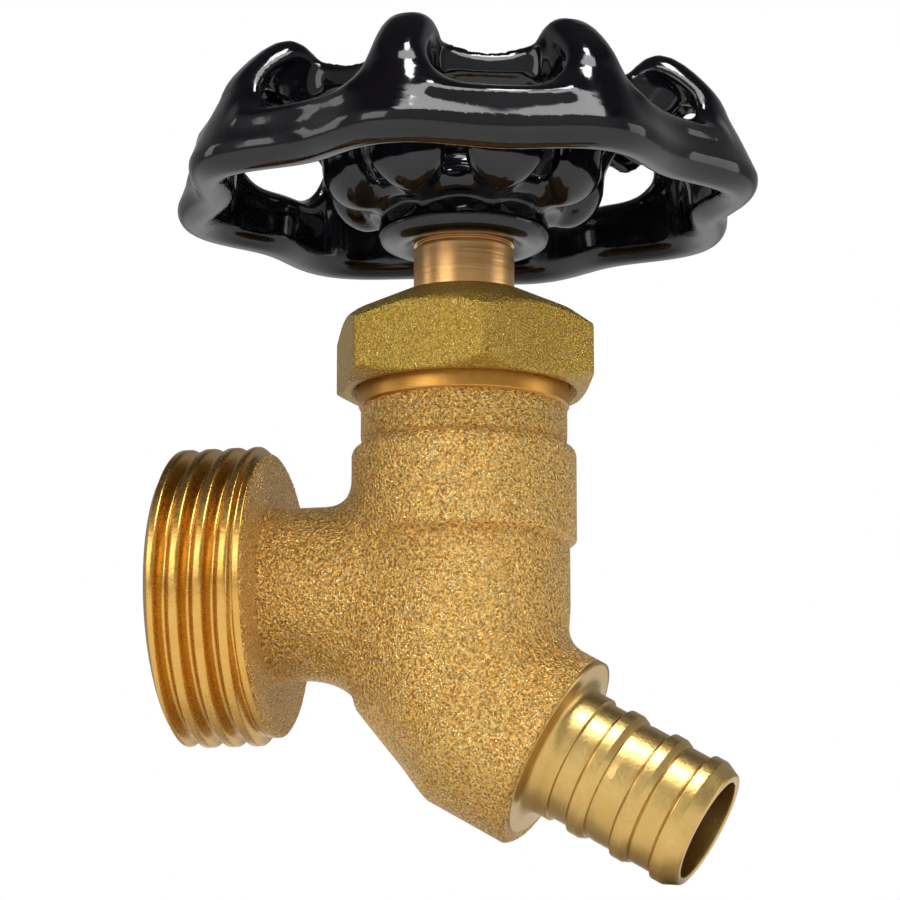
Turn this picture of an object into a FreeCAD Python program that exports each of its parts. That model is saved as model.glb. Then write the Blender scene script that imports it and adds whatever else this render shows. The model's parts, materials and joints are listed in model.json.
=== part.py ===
import FreeCAD, Part
import math
import os

from FreeCAD import Vector

# Boiler drain valve: hose-thread outlet towards -X, barbed inlet down towards +X, stem up along +Z.
# Lengths are millimetres. The shapes are drawn with the stem axis at X = Y = 0 and the outlet
# axis at Z = 0, then every piece is shifted so that the origin is the centre of the barb's end face.

# Hose-thread outlet, three quarter inch garden hose size
HOSE_MAJOR_R = 13.49
HOSE_PITCH = 2.209
HOSE_THREAD_DEPTH = 1.2
HOSE_CREST_FLAT = 0.45
HOSE_FLANK = 0.74
HOSE_FULL_CRESTS = 4
HOSE_END_X = 26.3
HOSE_END_CHAMFER = 0.4
HOSE_FIRST_CREST = 0.9
HOSE_SHOULDER_R = 12.8
HOSE_SHOULDER_THICK = 0.5
HOSE_SHOULDER_GAP = 1.07
OUTLET_BORE_R = 5.2
OUTLET_MOUTH_R = 9.6
OUTLET_MOUTH_DEPTH = 3.0
BRANCH_R = 7.8
BRANCH_FOOT_R = 1.4
BRANCH_FLARE = 1.4
BRANCH_FLARE_LENGTH = 3.2
CORNER_STEPS = 5

# Barrel, band and neck of the casting
BARREL_R = 9.5
BELLY_Z = -7.0
BAND_R = 10.11
BAND_BOTTOM_Z = 5.2
BAND_BOTTOM_SLOPE = 1.5
BAND_TOP_Z = 12.4
BAND_TOP_SLOPE = 2.0
NECK_R = 9.3
THREAD_START_Z = 16.35
NECK_THREAD_R = 9.48
NECK_TOP_Z = 21.5
NECK_CHAMFER = 0.5

# Valve seat and chamber
CHAMBER_R = 7.4
CHAMBER_TOP_Z = 8.0
SEAT_Z = -4.0
SEAT_HEIGHT = 1.5
SEAT_BORE_R = 4.2
SEAT_RING_R = 5.6
SEAT_ROOT = 0.5

# Barbed inlet
BARB_DROP = 9.67
BARB_ANGLE = 30.0
BOSS_R = 9.1
BOSS_OFFSET = 0.6
BOSS_BACK = 7.5
BOSS_BACK_R = 5.2
BOSS_FULL = 1.4
BOSS_EDGE_R = 0.7
BOSS_END = 10.0
BARB_TUBE_R = 5.55
BARB_RIB_R = 6.06
BARB_RIB_RISE = 0.2
BARB_RIB_FLAT = 1.0
BARB_RIB_FALL = 1.4
BARB_RIB_STARTS = (13.8, 18.2)
BARB_ROOT_START = 10.5
BARB_ROOT_FLAT = 0.4
BARB_COLLAR_START = 22.0
BARB_COLLAR_FLAT = 1.3
BARB_END = 25.17
BARB_TIP_R = 5.35
BARB_BORE_R = 4.69

# Stem
STEM_R = 4.56
STEM_THREAD_R = 6.75
THREAD_CLEARANCE = 0.06
STEM_THREAD_BOTTOM_Z = 5.6
STEM_THREAD_LENGTH = 8.0
STEM_WAIST_R = 4.4
STEM_DISC_THICK = 2.2
STEM_LIP_DEPTH = 1.4
STEM_LIP_R = 6.3
STEM_DISC_CHAMFER = 0.6
STEM_THREAD_CHAMFER = 0.8
SQUARE_SIDE = 6.0
SQUARE_CORNER_R = 3.85
SQUARE_LENGTH = 6.4
SQUARE_CLEARANCE = 0.05

# Seat washer and its screw
SEAT_WASHER_R = 5.6
SEAT_WASHER_THICK = 3.0
MOVING_CLEARANCE = 0.3
WASHER_SCREW_R = 1.5
WASHER_SCREW_HEAD_R = 2.9
WASHER_SCREW_HEAD_HEIGHT = 1.3
WASHER_SCREW_LENGTH = 5.0
SLOT_WIDTH = 0.8
SLOT_DEPTH = 0.6

# Packing nut, gland washer and packing ring
NUT_FLATS = 21.8
NUT_BOTTOM_Z = 17.84
NUT_CORNER_R = 12.45
NUT_FACE_R = 10.9
NUT_BOTTOM_CHAMFER = 0.9
NUT_FLATS_TOP_Z = 23.2
NUT_CONE_FOOT_R = 10.4
NUT_CONE_FOOT_Z = 24.7
NUT_TOP_R = 5.7
NUT_TOP_Z = 26.9
NUT_MOUTH_R = 10.19
NUT_THREAD_CLEARANCE = 0.08
NUT_TURN = -69.0
STEM_HOLE_CLEARANCE = 0.09
GLAND_WASHER_INSET = 0.4
GLAND_WASHER_THICK = 1.0
GLAND_WASHER_GAP = 0.25
PACKING_R = 7.0
PACKING_THICK = 2.8
PACKING_CONE = 1.4

# Handwheel, its heights measured from the underside of its hub
LOBES = 8
FIRST_LOBE = -92.7
HUB_BOTTOM_Z = 31.3
HUB_R = 7.85
HUB_EDGE = 1.4
HUB_FOOT_HEIGHT = 3.0
HUB_BARREL_R = 6.6
HUB_SOCKET_DEPTH = 0.6
HUB_HEIGHT = 8.3
WEB_THICK = 2.3
WEB_ROOT_R = 5.6
WEB_ROOT_HEIGHT = 2.7
CUP_FLOOR_R = 10.2
CUP_FLOOR_HEIGHT = 2.2
CUP_TURN_R = 13.2
CUP_TURN_HEIGHT = 4.1
CUP_WALL_R = 14.2
CUP_WALL_HEIGHT = 7.7
BAR_R = 15.3
BAR_HEIGHT = 13.9
CREST_R = 18.4
CREST_HEIGHT = 16.7
CREST_CROWN = 2.6
SKIRT_R = 22.4
SKIRT_HEIGHT = 12.3
LIP_R = 24.2
LIP_HEIGHT = 8.9
RIM_BOTTOM_HEIGHT = 3.0
RIM_BEAD_R = 1.9
RIM_LOBE_R = 27.1
RIM_WAIST_R = 24.6
FINGER_WIDTH = 5.2
FINGER_CORNER_R = 2.6
SLIT_WIDTH = 2.6
SLIT_HEIGHT = 10.3

# Handwheel screw and lock washer
LOCK_WASHER_R = 4.6
LOCK_WASHER_THICK = 0.9
WHEEL_SCREW_R = 2.1
WHEEL_SCREW_LENGTH = 7.0
WHEEL_SCREW_HEAD_R = 4.0
WHEEL_SCREW_HEAD_HEIGHT = 2.4
WHEEL_SCREW_DOME = 1.5
WHEEL_SCREW_SLOT_DEPTH = 1.2

# Worked out from the values above
BARB_COS = math.cos(math.radians(BARB_ANGLE))
BARB_SIN = math.sin(math.radians(BARB_ANGLE))
BARB_START = Vector(0, 0, -BARB_DROP)
BARB_DIR = Vector(BARB_COS, 0, -BARB_SIN)
ORIGIN_SHIFT = Vector(-BARB_END * BARB_COS, 0, BARB_DROP + BARB_END * BARB_SIN)
CHAMBER_FLOOR_Z = SEAT_Z - SEAT_HEIGHT
HOSE_ROOT_R = HOSE_MAJOR_R - HOSE_THREAD_DEPTH
HOSE_LAST_CREST = HOSE_FIRST_CREST + (HOSE_FULL_CRESTS - 1) * HOSE_PITCH
HOSE_BACK = HOSE_LAST_CREST + HOSE_SHOULDER_GAP + HOSE_SHOULDER_THICK
NECK_BORE_R = STEM_THREAD_R + THREAD_CLEARANCE
STEM_HOLE_R = STEM_R + STEM_HOLE_CLEARANCE
WASHER_TOP_Z = SEAT_Z + SEAT_WASHER_THICK
STEM_BOTTOM_Z = WASHER_TOP_Z + MOVING_CLEARANCE
GLAND_WASHER_R = NECK_THREAD_R - GLAND_WASHER_INSET
GLAND_TOP_Z = NECK_TOP_Z + GLAND_WASHER_THICK
PACKING_TOP_Z = GLAND_TOP_Z + PACKING_THICK
HUB_TOP_Z = HUB_BOTTOM_Z + HUB_HEIGHT
STEM_SHOULDER_Z = HUB_BOTTOM_Z + HUB_SOCKET_DEPTH
STEM_TOP_Z = STEM_SHOULDER_Z + SQUARE_LENGTH
LOBE_STEP = 360.0 / LOBES

UP = Vector(0, 0, 1)
AXIS_X = Vector(1, 0, 0)


def revolved(points, centre=Vector(0, 0, 0), axis=UP):
    """Full turn of a closed outline given as (radius, height) corners about the Z axis."""
    corners = [Vector(r, 0, z) for r, z in points]
    face = Part.Face(Part.makePolygon(corners + corners[:1]))
    solid = face.revolve(Vector(0, 0, 0), UP, 360)
    solid = Part.Solid(solid) if solid.ShapeType == "Shell" else solid
    turn = FreeCAD.Rotation(UP, axis)
    solid.Placement = FreeCAD.Placement(centre, turn)
    return solid


def ring(inner_r, outer_r, z_low, z_high):
    """Plain ring about the Z axis."""
    return revolved([(inner_r, z_low), (outer_r, z_low), (outer_r, z_high), (inner_r, z_high)])


def prism_hexagon(flats, z_low, z_high, turn):
    """Upright hexagonal prism with a corner at the angle turn."""
    corner_r = flats / 2 / math.cos(math.radians(30))
    corners = []
    for step in range(7):
        angle = math.radians(turn + 60 * step)
        corners.append(Vector(corner_r * math.cos(angle), corner_r * math.sin(angle), z_low))
    return Part.Face(Part.makePolygon(corners)).extrude(Vector(0, 0, z_high - z_low))


def square_bar(side, z_low, z_high):
    """Upright square bar on the stem axis."""
    corner = Vector(-side / 2, -side / 2, z_low)
    return Part.makeBox(side, side, z_high - z_low, corner)


def hose_head():
    """Thread head of the outlet with its ridges, drawn from the end face inwards and laid along -X."""
    outline = [(0, 0), (HOSE_ROOT_R - HOSE_END_CHAMFER, 0), (HOSE_ROOT_R, HOSE_END_CHAMFER)]
    half_flat = HOSE_CREST_FLAT / 2
    for count in range(HOSE_FULL_CRESTS):
        crest = HOSE_FIRST_CREST + count * HOSE_PITCH
        outline.append((HOSE_ROOT_R, crest - half_flat - HOSE_FLANK))
        outline.append((HOSE_MAJOR_R, crest - half_flat))
        outline.append((HOSE_MAJOR_R, crest + half_flat))
        outline.append((HOSE_ROOT_R, crest + half_flat + HOSE_FLANK))
    outline.append((HOSE_SHOULDER_R, HOSE_BACK - HOSE_SHOULDER_THICK))
    outline.append((HOSE_SHOULDER_R, HOSE_BACK - HOSE_SHOULDER_THICK / 2))
    outline.append((HOSE_SHOULDER_R - HOSE_SHOULDER_THICK / 2, HOSE_BACK))
    outline.append((0, HOSE_BACK))
    return revolved(outline, Vector(-HOSE_END_X, 0, 0), AXIS_X)


def barrel():
    """Upright barrel with its raised band, neck and the plain cylinder of the neck thread."""
    outline = [
        (0, BELLY_Z),
        (BARREL_R, BELLY_Z),
        (BARREL_R, BAND_BOTTOM_Z - BAND_BOTTOM_SLOPE),
        (BAND_R, BAND_BOTTOM_Z),
        (BAND_R, BAND_TOP_Z),
        (NECK_R, BAND_TOP_Z + BAND_TOP_SLOPE),
        (NECK_R, THREAD_START_Z),
        (NECK_THREAD_R, THREAD_START_Z),
        (NECK_THREAD_R, NECK_TOP_Z - NECK_CHAMFER),
        (NECK_THREAD_R - NECK_CHAMFER, NECK_TOP_Z),
        (0, NECK_TOP_Z),
    ]
    return revolved(outline)


def boss():
    """Slanting boss: tapers back into the belly and hangs a little below the barb's axis."""
    outline = [
        (0, -BOSS_BACK),
        (BOSS_BACK_R, -BOSS_BACK),
        (BOSS_R - BOSS_EDGE_R, BOSS_FULL - 2 * BOSS_EDGE_R),
        (BOSS_R, BOSS_FULL),
        (BOSS_R, BOSS_END - BOSS_EDGE_R),
        (BOSS_R - BOSS_EDGE_R, BOSS_END),
        (0, BOSS_END),
    ]
    below = Vector(-BARB_SIN, 0, -BARB_COS) * BOSS_OFFSET
    return revolved(outline, BARB_START + below, BARB_DIR)


def barb():
    """Ribbed barb on the slanting axis, from inside the boss to the tip."""
    outline = [(0, 0), (BARB_TUBE_R, 0)]
    ribs = [(BARB_ROOT_START, BARB_ROOT_FLAT)]
    ribs += [(start, BARB_RIB_FLAT) for start in BARB_RIB_STARTS]
    for start, flat in ribs:
        outline.append((BARB_TUBE_R, start))
        outline.append((BARB_RIB_R, start + BARB_RIB_RISE))
        outline.append((BARB_RIB_R, start + BARB_RIB_RISE + flat))
        outline.append((BARB_TUBE_R, start + BARB_RIB_RISE + flat + BARB_RIB_FALL))
    outline.append((BARB_TUBE_R, BARB_COLLAR_START))
    outline.append((BARB_RIB_R, BARB_COLLAR_START + BARB_RIB_RISE))
    outline.append((BARB_RIB_R, BARB_COLLAR_START + BARB_RIB_RISE + BARB_COLLAR_FLAT))
    outline.append((BARB_TIP_R, BARB_END))
    outline.append((0, BARB_END))
    return revolved(outline, BARB_START, BARB_DIR)


def branch():
    """Branch from the back of the thread head into the barrel, with a hollow corner at each end."""
    length = HOSE_END_X - HOSE_BACK
    flare_start = length - BARREL_R - BRANCH_FLARE_LENGTH
    angles = [math.radians(90 * step / CORNER_STEPS) for step in range(CORNER_STEPS + 1)]
    outline = [(0, 0)]
    for angle in angles:
        radius = BRANCH_R + BRANCH_FOOT_R * (1 - math.sin(angle))
        outline.append((radius, BRANCH_FOOT_R * (1 - math.cos(angle))))
    for angle in angles:
        radius = BRANCH_R + BRANCH_FLARE * (1 - math.cos(angle))
        outline.append((radius, flare_start + BRANCH_FLARE_LENGTH * math.sin(angle)))
    outline.append((BRANCH_R + BRANCH_FLARE, length))
    outline.append((0, length))
    return revolved(outline, Vector(-length, 0, 0), AXIS_X)


def valve_body():
    """Casting with its chamber, seat, two waterways and neck bore cut out."""
    belly = Part.makeSphere(BARREL_R, Vector(0, 0, BELLY_Z))
    body = barrel().fuse([belly, boss(), branch(), hose_head(), barb()])
    chamber = revolved([
        (0, CHAMBER_FLOOR_Z),
        (CHAMBER_R, CHAMBER_FLOOR_Z),
        (CHAMBER_R, CHAMBER_TOP_Z - (CHAMBER_R - NECK_BORE_R)),
        (NECK_BORE_R, CHAMBER_TOP_Z),
        (NECK_BORE_R, NECK_TOP_Z),
        (0, NECK_TOP_Z),
    ])
    seat = ring(SEAT_BORE_R, SEAT_RING_R, CHAMBER_FLOOR_Z - SEAT_ROOT, SEAT_Z)
    seat_bore = Part.makeCylinder(SEAT_BORE_R, BARB_DROP + SEAT_Z, BARB_START)
    elbow = Part.makeSphere(BARB_BORE_R, BARB_START)
    barb_bore = Part.makeCylinder(BARB_BORE_R, BARB_END, BARB_START, BARB_DIR)
    end_face = Vector(-HOSE_END_X, 0, 0)
    outlet = Part.makeCylinder(OUTLET_BORE_R, HOSE_END_X - SEAT_RING_R, end_face, AXIS_X)
    mouth = Part.makeCone(OUTLET_MOUTH_R, OUTLET_BORE_R, OUTLET_MOUTH_DEPTH, end_face, AXIS_X)
    body = body.cut([chamber, outlet, mouth])
    body = body.fuse([seat])
    return body.cut([seat_bore, elbow, barb_bore])


def packing_nut():
    """Hexagonal cap nut: chamfered hexagon, coned top, thread bore and packing chamber."""
    envelope = revolved([
        (0, NUT_BOTTOM_Z),
        (NUT_FACE_R, NUT_BOTTOM_Z),
        (NUT_CORNER_R, NUT_BOTTOM_Z + NUT_BOTTOM_CHAMFER),
        (NUT_CORNER_R, NUT_FLATS_TOP_Z),
        (NUT_CONE_FOOT_R, NUT_CONE_FOOT_Z),
        (NUT_TOP_R, NUT_TOP_Z),
        (0, NUT_TOP_Z),
    ])
    bore_r = NECK_THREAD_R + NUT_THREAD_CLEARANCE
    cavity = revolved([
        (0, NUT_BOTTOM_Z),
        (NUT_MOUTH_R, NUT_BOTTOM_Z),
        (bore_r, NUT_BOTTOM_Z + NUT_MOUTH_R - bore_r),
        (bore_r, GLAND_TOP_Z + GLAND_WASHER_GAP),
        (PACKING_R, GLAND_TOP_Z + GLAND_WASHER_GAP),
        (PACKING_R, PACKING_TOP_Z - PACKING_CONE),
        (STEM_HOLE_R, PACKING_TOP_Z),
        (STEM_HOLE_R, NUT_TOP_Z),
        (0, NUT_TOP_Z),
    ])
    hexagon = prism_hexagon(NUT_FLATS, NUT_BOTTOM_Z, NUT_TOP_Z, NUT_TURN)
    return hexagon.common(envelope).cut(cavity)


def gland_washer():
    """Thin washer that lies on the end of the neck under the packing."""
    return ring(STEM_HOLE_R, GLAND_WASHER_R, NECK_TOP_Z, GLAND_TOP_Z)


def packing_ring():
    """Soft ring with a coned top, squeezed between the nut and the gland washer."""
    return revolved([
        (STEM_HOLE_R, GLAND_TOP_Z),
        (PACKING_R, GLAND_TOP_Z),
        (PACKING_R, PACKING_TOP_Z - PACKING_CONE),
        (STEM_HOLE_R, PACKING_TOP_Z),
    ])


def stem():
    """Spindle: washer cup, waist, operating thread as a plain cylinder, shank and square."""
    cup_r = SEAT_WASHER_R + MOVING_CLEARANCE
    disc_top = STEM_BOTTOM_Z + STEM_DISC_THICK
    thread_top = STEM_THREAD_BOTTOM_Z + STEM_THREAD_LENGTH
    shank = revolved([
        (0, STEM_BOTTOM_Z),
        (cup_r, STEM_BOTTOM_Z),
        (cup_r, STEM_BOTTOM_Z - STEM_LIP_DEPTH),
        (STEM_LIP_R, STEM_BOTTOM_Z - STEM_LIP_DEPTH),
        (STEM_LIP_R, disc_top - STEM_DISC_CHAMFER),
        (STEM_LIP_R - STEM_DISC_CHAMFER, disc_top),
        (STEM_WAIST_R, disc_top + STEM_DISC_CHAMFER),
        (STEM_WAIST_R, STEM_THREAD_BOTTOM_Z - STEM_THREAD_CHAMFER),
        (STEM_THREAD_R, STEM_THREAD_BOTTOM_Z + STEM_THREAD_CHAMFER),
        (STEM_THREAD_R, thread_top - STEM_THREAD_CHAMFER),
        (STEM_R, thread_top),
        (STEM_R, STEM_SHOULDER_Z),
        (0, STEM_SHOULDER_Z),
    ])
    square = square_bar(SQUARE_SIDE, STEM_SHOULDER_Z, STEM_TOP_Z)
    round_limit = Part.makeCylinder(SQUARE_CORNER_R, SQUARE_LENGTH, Vector(0, 0, STEM_SHOULDER_Z))
    wheel_tap = Part.makeCylinder(WHEEL_SCREW_R, WHEEL_SCREW_LENGTH, Vector(0, 0, STEM_TOP_Z), -UP)
    washer_tap = Part.makeCylinder(WASHER_SCREW_R, WASHER_SCREW_LENGTH, Vector(0, 0, STEM_BOTTOM_Z))
    return shank.fuse(square.common(round_limit)).cut([wheel_tap, washer_tap])


def seat_washer():
    """Rubber disc on the seat, recessed below for its screw head."""
    head_r = WASHER_SCREW_HEAD_R + MOVING_CLEARANCE
    recess_z = SEAT_Z + WASHER_SCREW_HEAD_HEIGHT + MOVING_CLEARANCE
    hole_r = WASHER_SCREW_R + MOVING_CLEARANCE
    return revolved([
        (head_r, SEAT_Z),
        (SEAT_WASHER_R, SEAT_Z),
        (SEAT_WASHER_R, WASHER_TOP_Z),
        (hole_r, WASHER_TOP_Z),
        (hole_r, recess_z),
        (head_r, recess_z),
    ])


def washer_screw():
    """Slotted screw that carries the seat washer under the stem."""
    head = Part.makeCylinder(WASHER_SCREW_HEAD_R, WASHER_SCREW_HEAD_HEIGHT, Vector(0, 0, SEAT_Z))
    shank_z = SEAT_Z + WASHER_SCREW_HEAD_HEIGHT
    shank_length = STEM_BOTTOM_Z + WASHER_SCREW_LENGTH - shank_z
    shank = Part.makeCylinder(WASHER_SCREW_R, shank_length, Vector(0, 0, shank_z))
    slot_corner = Vector(-WASHER_SCREW_HEAD_R, -SLOT_WIDTH / 2, SEAT_Z)
    slot = Part.makeBox(2 * WASHER_SCREW_HEAD_R, SLOT_WIDTH, SLOT_DEPTH, slot_corner)
    return head.fuse(shank).cut(slot)


def web_section(lobe_share):
    """Radial section of the handwheel's web, from the hub over the crest to the rim bead.

    lobe_share runs from 0 in the waist between two fingers to 1 on a finger's middle.
    """
    rim_r = RIM_WAIST_R + (RIM_LOBE_R - RIM_WAIST_R) * lobe_share - RIM_BEAD_R
    bulge = (RIM_LOBE_R - RIM_WAIST_R) * (lobe_share - 0.5)
    middle = [
        (WEB_ROOT_R, WEB_ROOT_HEIGHT),
        (CUP_FLOOR_R, CUP_FLOOR_HEIGHT),
        (CUP_TURN_R, CUP_TURN_HEIGHT),
        (CUP_WALL_R, CUP_WALL_HEIGHT),
        (BAR_R, BAR_HEIGHT - WEB_THICK / 2),
        (CREST_R, CREST_HEIGHT - WEB_THICK / 2 - CREST_CROWN * (1 - lobe_share)),
        (SKIRT_R, SKIRT_HEIGHT),
        (LIP_R - RIM_BEAD_R / 2 + bulge * 0.5, LIP_HEIGHT),
        (rim_r, RIM_BOTTOM_HEIGHT + RIM_BEAD_R),
    ]
    count = len(middle)
    upper = []
    lower = []
    for index in range(count):
        before = middle[max(index - 1, 0)]
        after = middle[min(index + 1, count - 1)]
        run = after[0] - before[0]
        rise = after[1] - before[1]
        length = math.hypot(run, rise)
        share = max(index - count + 3, 0) / 2
        half = WEB_THICK / 2 + (RIM_BEAD_R - WEB_THICK / 2) * share
        side = (-rise / length * half, run / length * half)
        upper.append(Vector(middle[index][0] + side[0], 0, middle[index][1] + side[1]))
        lower.append(Vector(middle[index][0] - side[0], 0, middle[index][1] - side[1]))
    tip = Vector(rim_r + RIM_BEAD_R * 0.3, 0, RIM_BOTTOM_HEIGHT)
    curve = Part.BSplineCurve()
    curve.interpolate(upper + [tip] + lower[::-1])
    closing = Part.makeLine(lower[0], upper[0])
    return Part.Wire([curve.toShape(), closing])


def rounded_slot_wire(distance, half_width, floor_z, corner_r, top_z):
    """Upright outline square to the radius: flat floor, rounded lower corners, straight flanks."""
    low = [
        Vector(distance, -half_width, top_z),
        Vector(distance, -half_width, floor_z + corner_r),
        Vector(distance, -half_width + corner_r, floor_z),
        Vector(distance, half_width - corner_r, floor_z),
        Vector(distance, half_width, floor_z + corner_r),
        Vector(distance, half_width, top_z),
    ]
    ease = corner_r * (1 - math.sqrt(0.5))
    left = Vector(distance, -half_width + ease, floor_z + ease)
    right = Vector(distance, half_width - ease, floor_z + ease)
    edges = [
        Part.makeLine(low[0], low[1]),
        Part.Arc(low[1], left, low[2]).toShape(),
        Part.makeLine(low[2], low[3]),
        Part.Arc(low[3], right, low[4]).toShape(),
        Part.makeLine(low[4], low[5]),
        Part.makeLine(low[5], low[0]),
    ]
    return Part.Wire(edges)


def finger_gap():
    """Cutter for the gap between two fingers: it widens outwards and steps down from bar to lip."""
    spread = math.tan(math.radians(LOBE_STEP / 2))
    flank = FINGER_WIDTH / 2 / math.cos(math.radians(LOBE_STEP / 2))
    floors = [
        (BAR_R - 2 * WEB_THICK, BAR_HEIGHT),
        (BAR_R + WEB_THICK / 3, BAR_HEIGHT),
        (BAR_R + WEB_THICK, LIP_HEIGHT),
        (RIM_LOBE_R + WEB_THICK, LIP_HEIGHT),
    ]
    wires = []
    for distance, floor_z in floors:
        half_width = distance * spread - flank
        corner_r = min(FINGER_CORNER_R, half_width * 0.8)
        top_z = CREST_HEIGHT + WEB_THICK
        wires.append(rounded_slot_wire(distance, half_width, floor_z, corner_r, top_z))
    return Part.makeLoft(wires, True, True)


def cup_slit():
    """Cutter for the slit below each finger, which parts the cup into spokes."""
    length = CREST_R - CUP_FLOOR_R
    corner = Vector(CUP_FLOOR_R - WEB_THICK / 2, -SLIT_WIDTH / 2, 0)
    return Part.makeBox(length, SLIT_WIDTH, SLIT_HEIGHT, corner)


def web_sector():
    """One lobe of the web: a loft through radial sections from waist to waist, with its cuts."""
    sections = []
    for step in range(-2, 3):
        share = 0.5 + 0.5 * math.cos(math.pi * step / 2)
        wire = web_section(share)
        wire.rotate(Vector(0, 0, 0), UP, step * LOBE_STEP / 4)
        sections.append(wire)
    gap = finger_gap()
    cutters = [turned(gap, LOBE_STEP / 2), turned(gap, -LOBE_STEP / 2), cup_slit()]
    return Part.makeLoft(sections, True, False).cut(cutters)


def turned(shape, angle):
    """Copy of a shape turned about the stem axis."""
    copy = shape.copy()
    copy.rotate(Vector(0, 0, 0), UP, angle)
    return copy


def handwheel():
    """Lobed handwheel: equal sectors of one web, a hub with an eased foot and a square hole."""
    sector = web_sector()
    sectors = [turned(sector, FIRST_LOBE + count * LOBE_STEP) for count in range(LOBES)]
    hub = revolved([
        (0, 0),
        (HUB_R - HUB_EDGE, 0),
        (HUB_R - HUB_EDGE / 3, HUB_EDGE / 3),
        (HUB_R, HUB_EDGE),
        (HUB_R - HUB_EDGE / 3, HUB_FOOT_HEIGHT - HUB_EDGE / 3),
        (HUB_BARREL_R, HUB_FOOT_HEIGHT),
        (HUB_BARREL_R, HUB_HEIGHT),
        (0, HUB_HEIGHT),
    ])
    socket = Part.makeCylinder(STEM_R + SQUARE_CLEARANCE, HUB_SOCKET_DEPTH)
    hole = square_bar(SQUARE_SIDE + 2 * SQUARE_CLEARANCE, 0, HUB_HEIGHT)
    wheel = hub.fuse(sectors).cut([socket, hole])
    wheel.translate(Vector(0, 0, HUB_BOTTOM_Z))
    return wheel


def handwheel_lock_washer():
    """Washer between the screw head and the hub."""
    return ring(WHEEL_SCREW_R + SQUARE_CLEARANCE, LOCK_WASHER_R, HUB_TOP_Z, HUB_TOP_Z + LOCK_WASHER_THICK)


def handwheel_screw():
    """Round-headed slotted screw into the end of the stem."""
    head_z = HUB_TOP_Z + LOCK_WASHER_THICK
    head = Part.makeCylinder(WHEEL_SCREW_HEAD_R, WHEEL_SCREW_HEAD_HEIGHT, Vector(0, 0, head_z))
    dome_r = (WHEEL_SCREW_HEAD_R ** 2 + WHEEL_SCREW_DOME ** 2) / 2 / WHEEL_SCREW_DOME
    dome = Part.makeSphere(dome_r, Vector(0, 0, head_z + WHEEL_SCREW_HEAD_HEIGHT - dome_r))
    head = head.common(dome)
    shank_z = STEM_TOP_Z - WHEEL_SCREW_LENGTH
    shank = Part.makeCylinder(WHEEL_SCREW_R, head_z - shank_z, Vector(0, 0, shank_z))
    slot_z = head_z + WHEEL_SCREW_HEAD_HEIGHT - WHEEL_SCREW_SLOT_DEPTH
    slot_corner = Vector(-WHEEL_SCREW_HEAD_R, -SLOT_WIDTH / 2, slot_z)
    slot = Part.makeBox(2 * WHEEL_SCREW_HEAD_R, SLOT_WIDTH, WHEEL_SCREW_SLOT_DEPTH, slot_corner)
    return head.fuse(shank).cut(slot)


PIECES = {
    "valve_body": valve_body,
    "packing_nut": packing_nut,
    "gland_washer": gland_washer,
    "packing_ring": packing_ring,
    "stem": stem,
    "seat_washer": seat_washer,
    "washer_screw": washer_screw,
    "handwheel": handwheel,
    "handwheel_lock_washer": handwheel_lock_washer,
    "handwheel_screw": handwheel_screw,
}

os.makedirs("parts", exist_ok=True)
for name, make in PIECES.items():
    shape = make()
    shape.translate(ORIGIN_SHIFT)
    shape.exportStep("parts/" + name + ".step")
    print(name, "solids", len(shape.Solids), "valid", shape.isValid(), "volume", round(shape.Volume, 1))
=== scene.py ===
# %% [markdown]
# # A boiler drain valve, dressed over its CAD frame
#
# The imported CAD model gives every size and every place. This script keeps it as the frame,
# builds finer surfaces over it with numpy, and paints each one with a procedural material.
# Washers, packing and the handwheel's screw look right as plain solids, so they stay as they
# are and only get a finish.

import json
import math

import bpy
import numpy as np
from mathutils import Matrix, Vector


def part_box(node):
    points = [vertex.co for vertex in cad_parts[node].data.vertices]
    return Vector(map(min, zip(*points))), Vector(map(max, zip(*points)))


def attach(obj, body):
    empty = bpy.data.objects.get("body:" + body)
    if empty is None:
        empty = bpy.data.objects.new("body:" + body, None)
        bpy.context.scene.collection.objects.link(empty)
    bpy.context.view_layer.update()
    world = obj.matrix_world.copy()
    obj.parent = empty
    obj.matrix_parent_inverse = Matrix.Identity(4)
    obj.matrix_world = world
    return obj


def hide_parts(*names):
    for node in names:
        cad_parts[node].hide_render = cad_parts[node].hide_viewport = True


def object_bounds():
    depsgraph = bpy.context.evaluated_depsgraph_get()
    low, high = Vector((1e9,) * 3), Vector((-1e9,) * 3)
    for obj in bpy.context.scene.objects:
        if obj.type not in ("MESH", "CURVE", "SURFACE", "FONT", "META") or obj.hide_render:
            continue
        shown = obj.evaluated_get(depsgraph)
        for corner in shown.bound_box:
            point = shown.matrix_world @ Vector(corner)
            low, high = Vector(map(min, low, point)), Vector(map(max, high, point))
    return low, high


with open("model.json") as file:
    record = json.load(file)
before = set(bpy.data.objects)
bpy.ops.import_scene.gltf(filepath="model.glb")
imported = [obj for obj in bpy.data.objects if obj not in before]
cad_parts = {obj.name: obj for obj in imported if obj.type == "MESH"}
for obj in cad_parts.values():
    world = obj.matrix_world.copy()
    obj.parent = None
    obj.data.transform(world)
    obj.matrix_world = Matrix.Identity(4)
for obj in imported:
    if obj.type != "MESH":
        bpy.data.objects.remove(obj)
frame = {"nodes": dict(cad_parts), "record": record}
cad_low, cad_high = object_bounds()
print("CAD box in mm", [round(1000 * value, 1) for value in (*cad_low, *cad_high)])

# %% [markdown]
# ## A drawing frame that suits the valve
#
# The CAD origin is the middle of the barb's end face. That is right for fitting the part and
# awkward for drawing it. Every shape below is drawn in millimetres with the stem axis at
# X = Y = 0 and the outlet axis at Z = 0, and goes to its real place when its mesh is made.
# Moving the objects would do the same, but then each would have Object coordinates of its own,
# and the patterns of the materials would move with them.

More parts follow.
